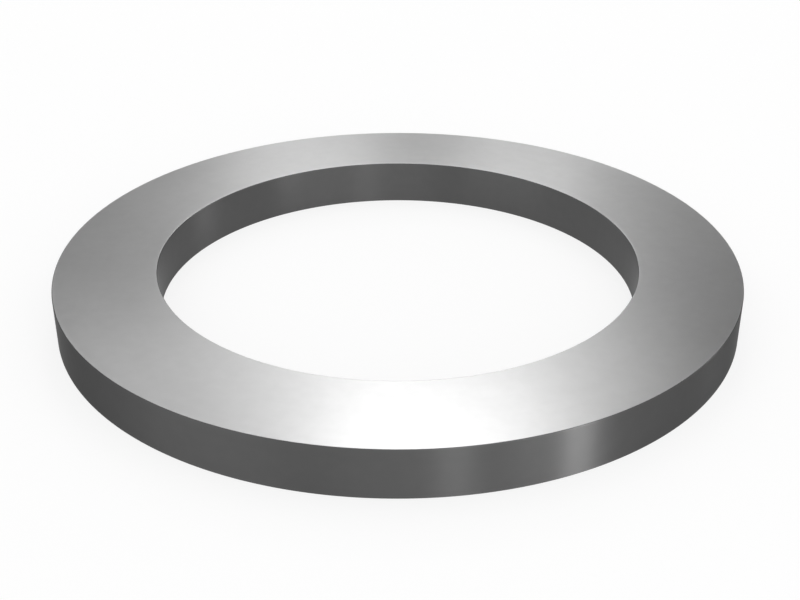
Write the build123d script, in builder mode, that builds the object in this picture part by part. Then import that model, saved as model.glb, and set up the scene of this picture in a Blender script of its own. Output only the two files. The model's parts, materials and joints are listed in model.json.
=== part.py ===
"""A sealing washer: one flat solid metal ring.

A screw plug or a banjo bolt passes through the bore and clamps the ring between its head and
the face round the threaded port. The joint seals on the two flat faces, so the section is a
plain rectangle, and only the burrs are taken off its four rims.

The ring lies flat. Its origin is on the axis, in the plane of the lower sealing face, and +Z
runs along the axis, so that the upper sealing face is at the ring's thickness.
"""

import os

from build123d import *

# Driving sizes, in millimetres.
SCREW_DIAMETER = 14.0  # outside of the thread that passes through the bore
SCREW_CLEARANCE = 0.1  # how much wider than the thread the bore is, on the diameter
OUTER_DIAMETER = 20.0  # over the rim
THICKNESS = 1.4  # from one sealing face to the other
EDGE_RADIUS = 0.03  # what deburring leaves on each of the four rims

# Sizes that follow from them.
bore_diameter = SCREW_DIAMETER + SCREW_CLEARANCE
bore_radius = bore_diameter / 2
ring_width = (OUTER_DIAMETER - bore_diameter) / 2

# The section stands on the lower sealing face, with one side on the bore's wall, and is
# turned once round the axis.
with BuildPart() as sealing_ring:
    with BuildSketch(Plane.XZ) as section:
        with Locations((bore_radius, 0)):
            Rectangle(ring_width, THICKNESS, align=(Align.MIN, Align.MIN))
        fillet(section.vertices(), EDGE_RADIUS)
    revolve(axis=Axis.Z)

sealing_ring.part.label = "sealing_ring"

os.makedirs("parts", exist_ok=True)
export_step(sealing_ring.part, "parts/sealing_ring.step")
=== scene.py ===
"""The sealing washer's looks: a turned steel ring on a pale studio floor under soft lamps.

Everything is in metres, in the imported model's own frame: the ring's axis is Z, its lower
sealing face lies in the plane z = 0, and the camera stands on the -Y side.
"""

import json
import math

import bpy
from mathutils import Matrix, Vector


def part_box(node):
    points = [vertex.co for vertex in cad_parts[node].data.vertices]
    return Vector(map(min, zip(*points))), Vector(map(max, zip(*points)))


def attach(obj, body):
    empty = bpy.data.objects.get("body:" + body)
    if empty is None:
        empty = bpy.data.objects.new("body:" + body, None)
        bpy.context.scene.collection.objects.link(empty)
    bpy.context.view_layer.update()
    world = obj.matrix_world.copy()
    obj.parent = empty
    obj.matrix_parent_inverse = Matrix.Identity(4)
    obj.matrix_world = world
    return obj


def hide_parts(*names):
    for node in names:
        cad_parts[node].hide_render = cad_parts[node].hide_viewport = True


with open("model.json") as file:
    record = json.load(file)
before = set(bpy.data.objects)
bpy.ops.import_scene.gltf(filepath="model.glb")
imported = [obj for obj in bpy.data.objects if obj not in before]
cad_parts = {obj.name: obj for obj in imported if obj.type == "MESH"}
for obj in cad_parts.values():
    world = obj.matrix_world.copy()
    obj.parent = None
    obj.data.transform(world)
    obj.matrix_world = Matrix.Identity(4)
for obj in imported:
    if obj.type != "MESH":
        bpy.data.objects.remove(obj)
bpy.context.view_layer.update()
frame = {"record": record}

NODE = "sealing_ring"

# The ring's own sizes come from the frame.
ring_low, ring_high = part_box(NODE)
bore = next(m for m in frame["record"]["mounts"] if m["name"] == "bore")
OUTER_RADIUS = ring_high.x
BORE_RADIUS = bore["dims"]["r_mm"] / 1000
MIDDLE_RADIUS = (BORE_RADIUS + OUTER_RADIUS) / 2
EDGE_RADIUS = 0.00003  # the deburred rims, as in the solid

# How finely the ring is meshed.
TURN_STEPS = 720
RIM_STEPS = 8
FACE_TILT = 0.92  # the face's finish ends on the rims where the normal's height falls below this

# The tool's marks and the grain of the metal. A tone is a share of the grey, a rough one is added
# to the roughness, and a relief is a height in metres.
MARK_PITCH = 0.00026  # from one mark to the next
MARK_TURNS = 2.6  # how often a mark changes on its way round
MARK_TONE = 0.007
MARK_RELIEF = 4e-8
BAND_PITCH = 0.0009  # the slower waves that the feed leaves
BAND_TURNS = 1.3
BAND_ROUGH = 0.002
BAND_RELIEF = 1.5e-7
GRAIN_SIZE = 0.00032
GRAIN_TONE = 0.018
GRAIN_RELIEF = 4e-7
CLOUD_SIZE = 0.0022
CLOUD_DETAIL = 2.0
CLOUD_TONE = 0.016
CLOUD_ROUGH = 0.003
WEAR_WIDTH = 0.00014  # how far in from a rim the metal is rubbed
WEAR_LEAST = 0.4  # the share of it that is left where the clouds are at their lowest
WEAR_TONE = 0.05
WEAR_ROUGH = 0.01
CLOUD_REACH = 0.5  # the clouds count as lowest below minus this, and as highest above it
NOISE_LOW = 0.25  # a noise texture's values from here to the high one become -1 to 1
NOISE_HIGH = 0.75

# The finishes of the one piece, on its faces, its outer wall and its bore. Grey is the colour head
# on, and edge tint what is left of the glare at a grazing angle. The outer wall and the bore are
# the same steel as the faces, with their grey set far lower as painted shade, so that they render
# dark.
# A face with a roughness under 0.275 comes out patchy.
FACE, WALL, BORE = range(3)
FINISHES = (
    # name, grey, roughness, anisotropy, edge tint
    ("turned_face", 0.551, 0.281, 0.45, 0.45),
    # the grey of the wall and the bore below is painted shade, the faces' steel made darker
    ("turned_wall_painted_shade", 0.112, 0.38, 0.95, 0.4),
    ("turned_bore_painted_shade", 0.112, 0.38, 0.95, 0.7),
)
GLARE_TURN = 0.25  # the share of a full turn by which the anisotropy is turned from the marks

# The floor.
FLOOR_RADIUS = 1.3
FLOOR_STEPS = 96
FLOOR_GREY = 0.98
FLOOR_GLOW = 0.8  # the share of plain white in what the camera and the metal see of the floor
FADE_START = 0.06  # from here to the fade's end the floor turns into plain white
FADE_END = 0.25

# The room, with its angles in degrees.
HORIZON_GREY = 1.0
HORIZON_TOP = 13.0  # the room is near white up to this elevation
HORIZON_BLUR = 2.0  # and changes over this much on both sides of it
ROOM_GREY = 0.69
SHADE_GREY = 0.03  # the darker part of the room, behind the ring
SHADE_ELEVATION = 34.0
SHADE_INNER = 14.0  # from its middle to where it starts to fade
SHADE_OUTER = 34.0  # from its middle to where it ends

# The lamps as seen from the ring, in degrees. Azimuth 0 is behind the ring and 90 to its right.
# Brightness 1 is that of a white card in full light.
LAMP_DISTANCE = 0.5
LAMPS = (
    # name, azimuth, elevation, width, height, brightness
    ("key", -3.2, 34.0, 31.5, 6.4, 1.85),
    ("back_left", -5.1, 25.3, 7.0, 24.0, 1.09),
    ("back_right", 6.7, 22.8, 6.2, 2.2, 5.9),
    ("high_back", 3.0, 47.5, 12.0, 27.0, 2.78),
    ("ceiling", 0.0, 90.0, 100.0, 60.0, 0.4),
    ("front", 158.0, 13.2, 75.0, 26.4, 0.93),
    ("mid_front", 164.0, 12.0, 10.0, 6.0, 6.8),
    ("mid_right", 142.0, 6.5, 12.0, 4.0, 2.4),
    ("front_left", -124.0, 4.0, 41.0, 6.0, 2.5),
    ("low_right", 124.5, 3.9, 11.0, 7.8, 4.8),
    ("left_side", -47.0, 30.0, 8.0, 14.0, 2.45),
    ("right_back", 72.0, 8.2, 12.6, 11.7, 4.4),
)

# Low strips close to the ring. They are no higher than it, so that they light its outer wall
# and neither its face nor its bore.
STRIP_DISTANCE = 0.0395
STRIPS = (
    # name, azimuth in degrees, width in metres, brightness
    ("strip_side", 133.8, 0.0053, 102.0),
    ("strip_corner", 146.5, 0.0070, 13.2),
    ("strip_front", 165.7, 0.0053, 23.3),
)

# The photograph's camera, fitted to the four rims of the ring. Distance and elevation are those
# of the camera above the middle of the upper face; pitch and yaw are how far it looks down and
# to the right.
CAMERA_DISTANCE = 0.03762
CAMERA_ELEVATION = 26.404
CAMERA_PITCH = 28.477
CAMERA_YAW = 0.1095
LENS_MM = 56.98
SENSOR_MM = 36.0
NEAREST = 0.001  # the nearest and the furthest that the camera sees
FURTHEST = 10


def rim(radius, height, start):
    """One rim of the section: points and normals on a quarter circle from start degrees."""
    points = []
    for step in range(RIM_STEPS + 1):
        angle = math.radians(start + 90 * step / RIM_STEPS)
        across, up = math.cos(angle), math.sin(angle)
        points.append((radius + EDGE_RADIUS * across, height + EDGE_RADIUS * up, across, up))
    return points


def section():
    """The ring's section, anticlockwise from the top of the outer wall."""
    inside = BORE_RADIUS + EDGE_RADIUS
    outside = OUTER_RADIUS - EDGE_RADIUS
    low = ring_low.z + EDGE_RADIUS
    high = ring_high.z - EDGE_RADIUS
    return [
        *rim(outside, high, 0),
        *rim(inside, high, 90),
        *rim(inside, low, 180),
        *rim(outside, low, 270),
    ]


def turned(points):
    """The places and the exact normals of the section's points on their way round Z."""
    places, normals = [], []
    for turn in range(TURN_STEPS):
        angle = 2 * math.pi * turn / TURN_STEPS
        c, s = math.cos(angle), math.sin(angle)
        for radius, height, across, up in points:
            places.append((radius * c, radius * s, height))
            normals.append((across * c, across * s, up))
    return places, normals


def finish_of(point, after):
    """Which finish the ring has between two neighbouring points of its section."""
    if abs(point[3] + after[3]) / 2 > FACE_TILT:
        return FACE
    return WALL if point[0] > MIDDLE_RADIUS else BORE


def joined(points):
    """The faces between the turned points, and the finish of each."""
    count = len(points)
    faces, finishes = [], []
    for turn in range(TURN_STEPS):
        here, there = turn * count, (turn + 1) % TURN_STEPS * count
        for k in range(count):
            after = (k + 1) % count
            faces.append((here + k, there + k, there + after, here + after))
            finishes.append(finish_of(points[k], points[after]))
    return faces, finishes


def lay_map(mesh, points):
    """Lays the surface out flat: u goes once round the ring, and v once round its section."""
    count = len(points)
    along = [0.0]
    for k in range(count):
        here, after = points[k], points[(k + 1) % count]
        along.append(along[-1] + math.dist(here[:2], after[:2]))
    uv = mesh.uv_layers.new(name="OFBake")
    for turn in range(TURN_STEPS):
        for k in range(count):
            first = mesh.polygons[turn * count + k].loop_start
            u0, u1 = turn / TURN_STEPS, (turn + 1) / TURN_STEPS
            v0, v1 = along[k] / along[-1], along[k + 1] / along[-1]
            for place, at in enumerate(((u0, v0), (u1, v0), (u1, v1), (u0, v1))):
                uv.data[first + place].uv = at


def turned_ring(metals):
    """The ring as a fine mesh turned round Z, with exact normals and a map that runs round it.

    The metals are those of its faces, its outer wall and its bore.
    """
    points = section()
    places, normals = turned(points)
    faces, finishes = joined(points)
    mesh = bpy.data.meshes.new("turned_ring")
    mesh.from_pydata(places, [], faces)
    for metal in metals:
        mesh.materials.append(metal)
    mesh.polygons.foreach_set("material_index", finishes)
    mesh.polygons.foreach_set("use_smooth", [True] * len(faces))
    mesh.normals_split_custom_set_from_vertices(normals)
    lay_map(mesh, points)
    ring = bpy.data.objects.new("turned_ring", mesh)
    bpy.context.scene.collection.objects.link(ring)
    return ring


def node(tree, kind, **settings):
    """A new node with these settings."""
    made = tree.nodes.new(kind)
    for name, value in settings.items():
        setattr(made, name, value)
    return made


def feed(tree, source, socket):
    """Gives a socket another one's output, or a plain number."""
    if isinstance(source, (int, float)):
        socket.default_value = source
    else:
        tree.links.new(source, socket)


def maths(tree, operation, *values):
    """The result of a maths node on sockets or numbers."""
    made = node(tree, "ShaderNodeMath", operation=operation)
    for value, socket in zip(values, made.inputs):
        feed(tree, value, socket)
    return made.outputs[0]


def add_up(tree, total, *parts):
    """The total with each part's pattern added, times the part's weight."""
    for pattern, weight in parts:
        total = maths(tree, "MULTIPLY_ADD", pattern, weight, total)
    return total


def stepped(tree, value, start, end, low, high, smooth=False):
    """Maps start to end onto low to high, and holds it there on both sides."""
    made = node(tree, "ShaderNodeMapRange", clamp=True)
    made.interpolation_type = "SMOOTHSTEP" if smooth else "LINEAR"
    for source, socket in zip((value, start, end, low, high), made.inputs):
        feed(tree, source, socket)
    return made.outputs["Result"]


def grey_of(tree, value):
    """A neutral colour from one value."""
    made = node(tree, "ShaderNodeCombineColor", mode="RGB")
    for socket in made.inputs:
        feed(tree, value, socket)
    return made.outputs[0]


def noise(tree, place, scale, detail=1.0):
    """Noise at this place that keeps between -1 and 1."""
    made = node(tree, "ShaderNodeTexNoise", noise_dimensions="3D")
    feed(tree, place, made.inputs["Vector"])
    made.inputs["Scale"].default_value = scale
    made.inputs["Detail"].default_value = detail
    return stepped(tree, made.outputs["Fac"], NOISE_LOW, NOISE_HIGH, -1.0, 1.0)


def blank_material(name):
    """A material with only its output, and the output's shader."""
    material = bpy.data.materials.new(name)
    material.use_nodes = True
    tree = material.node_tree
    tree.nodes.clear()
    return material, tree, node(tree, "ShaderNodeOutputMaterial").inputs["Surface"]


class RingPlace:
    """Where a point of the metal lies on the ring, as sockets of one material."""

    def __init__(self, tree):
        self.tree = tree
        self.point = node(tree, "ShaderNodeTexCoord").outputs["Object"]
        parts = node(tree, "ShaderNodeSeparateXYZ")
        feed(tree, self.point, parts.inputs[0])
        x, y, self.height = parts.outputs
        square = maths(tree, "MULTIPLY_ADD", x, x, maths(tree, "MULTIPLY", y, y))
        self.radius = maths(tree, "SQRT", square)
        self.east = maths(tree, "DIVIDE", x, self.radius)
        self.north = maths(tree, "DIVIDE", y, self.radius)

    def along_marks(self, turns, pitch):
        """Coordinates that change by one in each pitch across the marks, and slowly along them."""
        tree = self.tree
        made = node(tree, "ShaderNodeCombineXYZ")
        across = maths(tree, "ADD", self.radius, self.height)
        feed(tree, maths(tree, "MULTIPLY", self.east, turns), made.inputs["X"])
        feed(tree, maths(tree, "MULTIPLY", self.north, turns), made.inputs["Y"])
        feed(tree, maths(tree, "DIVIDE", across, pitch), made.inputs["Z"])
        return made.outputs[0]

    def from_rim(self):
        """How far the point is from the nearest rim, along the face or the wall."""
        tree = self.tree
        on_face = maths(
            tree,
            "MINIMUM",
            maths(tree, "SUBTRACT", self.radius, BORE_RADIUS),
            maths(tree, "SUBTRACT", OUTER_RADIUS, self.radius),
        )
        on_wall = maths(
            tree,
            "MINIMUM",
            maths(tree, "SUBTRACT", self.height, ring_low.z),
            maths(tree, "SUBTRACT", ring_high.z, self.height),
        )
        return maths(tree, "MAXIMUM", on_face, on_wall)


def rubbed(tree, place, clouds):
    """How rubbed the metal is: most at the rims, and more where the clouds are high."""
    worn = stepped(tree, place.from_rim(), 0.0, WEAR_WIDTH, 1.0, 0.0, smooth=True)
    share = stepped(tree, clouds, -CLOUD_REACH, CLOUD_REACH, WEAR_LEAST, 1.0)
    return maths(tree, "MULTIPLY", worn, share)


def turned_metal(name, grey, roughness, anisotropy, edge_tint):
    """Metal turned on a lathe: fine marks round the axis, a grain, faint clouds and rubbed rims."""
    material, tree, surface = blank_material(name)
    shader = node(tree, "ShaderNodeBsdfPrincipled")
    feed(tree, shader.outputs[0], surface)
    shader.inputs["Metallic"].default_value = 1.0
    shader.inputs["Anisotropic"].default_value = anisotropy
    shader.inputs["Anisotropic Rotation"].default_value = GLARE_TURN
    shader.inputs["Specular Tint"].default_value = (edge_tint, edge_tint, edge_tint, 1)
    tangent = node(tree, "ShaderNodeTangent", direction_type="RADIAL", axis="Z")
    feed(tree, tangent.outputs[0], shader.inputs["Tangent"])

    place = RingPlace(tree)
    marks = noise(tree, place.along_marks(MARK_TURNS, MARK_PITCH), 1.0)
    bands = noise(tree, place.along_marks(BAND_TURNS, BAND_PITCH), 1.0)
    grain = noise(tree, place.point, 1 / GRAIN_SIZE)
    clouds = noise(tree, place.point, 1 / CLOUD_SIZE, CLOUD_DETAIL)
    worn = rubbed(tree, place, clouds)

    tones = ((marks, MARK_TONE), (grain, GRAIN_TONE), (clouds, CLOUD_TONE), (worn, WEAR_TONE))
    tone = maths(tree, "MULTIPLY", add_up(tree, 1.0, *tones), grey)
    feed(tree, grey_of(tree, tone), shader.inputs["Base Color"])

    roughs = ((bands, BAND_ROUGH), (clouds, CLOUD_ROUGH), (worn, WEAR_ROUGH))
    feed(tree, add_up(tree, roughness, *roughs), shader.inputs["Roughness"])

    reliefs = ((marks, MARK_RELIEF), (bands, BAND_RELIEF), (grain, GRAIN_RELIEF))
    bump = node(tree, "ShaderNodeBump")
    bump.inputs["Strength"].default_value = 1.0
    bump.inputs["Distance"].default_value = 1.0
    feed(tree, add_up(tree, 0.0, *reliefs), bump.inputs["Height"])
    feed(tree, bump.outputs[0], shader.inputs["Normal"])
    return material


def floor_paint():
    """Matt white paint that keeps a soft shadow near the ring and is plain white further out."""
    material, tree, surface = blank_material("floor_paint")
    paint = node(tree, "ShaderNodeBsdfDiffuse")
    paint.inputs["Color"].default_value = (FLOOR_GREY, FLOOR_GREY, FLOOR_GREY, 1)
    glow = node(tree, "ShaderNodeEmission")
    ray = node(tree, "ShaderNodeLightPath")
    seen = maths(tree, "ADD", ray.outputs["Is Camera Ray"], ray.outputs["Is Glossy Ray"])
    seen = maths(tree, "ADD", seen, ray.outputs["Is Transmission Ray"])
    distance = node(tree, "ShaderNodeVectorMath", operation="LENGTH")
    feed(tree, node(tree, "ShaderNodeTexCoord").outputs["Object"], distance.inputs[0])
    away = distance.outputs["Value"]
    share = stepped(tree, away, FADE_START, FADE_END, FLOOR_GLOW, 1.0, smooth=True)
    mix = node(tree, "ShaderNodeMixShader")
    feed(tree, maths(tree, "MULTIPLY", seen, share), mix.inputs[0])
    feed(tree, paint.outputs[0], mix.inputs[1])
    feed(tree, glow.outputs[0], mix.inputs[2])
    feed(tree, mix.outputs[0], surface)
    return material


def studio_floor():
    """A wide round floor."""
    turns = [2 * math.pi * step / FLOOR_STEPS for step in range(FLOOR_STEPS)]
    places = [(FLOOR_RADIUS * math.cos(a), FLOOR_RADIUS * math.sin(a), ring_low.z) for a in turns]
    mesh = bpy.data.meshes.new("studio_floor")
    mesh.from_pydata(places, [], [range(FLOOR_STEPS)])
    mesh.materials.append(floor_paint())
    floor = bpy.data.objects.new("studio_floor", mesh)
    bpy.context.scene.collection.objects.link(floor)


def towards(azimuth, elevation):
    """The direction from the ring to this azimuth and elevation."""
    a, e = math.radians(azimuth), math.radians(elevation)
    return Vector((math.sin(a) * math.cos(e), math.cos(a) * math.cos(e), math.sin(e)))


def area_lamp(name, place, back, width, height, brightness):
    """A rectangular lamp at this place with its back this way, and its size in metres."""
    data = bpy.data.lights.new(name, "AREA")
    data.shape = "RECTANGLE"
    data.size = width
    data.size_y = height
    data.energy = brightness * math.pi * width * height
    lamp = bpy.data.objects.new(name, data)
    lamp.location = place
    lamp.rotation_euler = back.to_track_quat("Z", "Y").to_euler()
    lamp.visible_camera = False
    bpy.context.scene.collection.objects.link(lamp)


def soft_lamp(name, azimuth, elevation, width, height, brightness):
    """A soft lamp far from the ring, with its place and its size in degrees."""
    away = towards(azimuth, elevation)
    sides = [2 * LAMP_DISTANCE * math.tan(math.radians(angle / 2)) for angle in (width, height)]
    area_lamp(name, away * LAMP_DISTANCE, away, *sides, brightness)


def low_strip(name, azimuth, width, brightness):
    """An upright strip close to the ring that reaches from the floor to the height of its face."""
    away = towards(azimuth, 0)
    height = ring_high.z - ring_low.z
    place = away * STRIP_DISTANCE + Vector((0, 0, ring_low.z + height / 2))
    area_lamp(name, place, away, width, height, brightness)


def room():
    """A plain pale room, near white at the horizon and darker behind the ring."""
    world = bpy.data.worlds.new("room")
    world.use_nodes = True
    tree = world.node_tree
    direction = node(tree, "ShaderNodeTexCoord").outputs["Generated"]
    parts = node(tree, "ShaderNodeSeparateXYZ")
    feed(tree, direction, parts.inputs[0])
    nearness = node(tree, "ShaderNodeVectorMath", operation="DOT_PRODUCT")
    feed(tree, direction, nearness.inputs[0])
    nearness.inputs[1].default_value = towards(0, SHADE_ELEVATION)
    outer = math.cos(math.radians(SHADE_OUTER))
    inner = math.cos(math.radians(SHADE_INNER))
    near = nearness.outputs["Value"]
    walls = stepped(tree, near, outer, inner, ROOM_GREY, SHADE_GREY, smooth=True)
    low = math.sin(math.radians(HORIZON_TOP - HORIZON_BLUR))
    high = math.sin(math.radians(HORIZON_TOP + HORIZON_BLUR))
    above = stepped(tree, parts.outputs["Z"], low, high, 0.0, 1.0, smooth=True)
    grey = stepped(tree, above, 0.0, 1.0, HORIZON_GREY, walls)
    feed(tree, grey_of(tree, grey), tree.nodes["Background"].inputs["Color"])
    bpy.context.scene.world = world


def photo_camera():
    """The camera where the photograph was taken from."""
    data = bpy.data.cameras.new("camera")
    data.lens = LENS_MM
    data.sensor_width = SENSOR_MM
    data.clip_start = NEAREST
    data.clip_end = FURTHEST
    camera = bpy.data.objects.new("camera", data)
    away = towards(180, CAMERA_ELEVATION)
    camera.location = Vector((0, 0, ring_high.z)) + away * CAMERA_DISTANCE
    camera.rotation_euler = (math.radians(90 - CAMERA_PITCH), 0, math.radians(-CAMERA_YAW))
    bpy.context.scene.collection.objects.link(camera)
    bpy.context.scene.camera = camera


photo_camera()
ring = turned_ring([turned_metal(*finish) for finish in FINISHES])
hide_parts(NODE)
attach(ring, "root")
studio_floor()
for lamp in LAMPS:
    soft_lamp(*lamp)
for strip in STRIPS:
    low_strip(*strip)
room()
bpy.context.scene.view_settings.view_transform = "Standard"
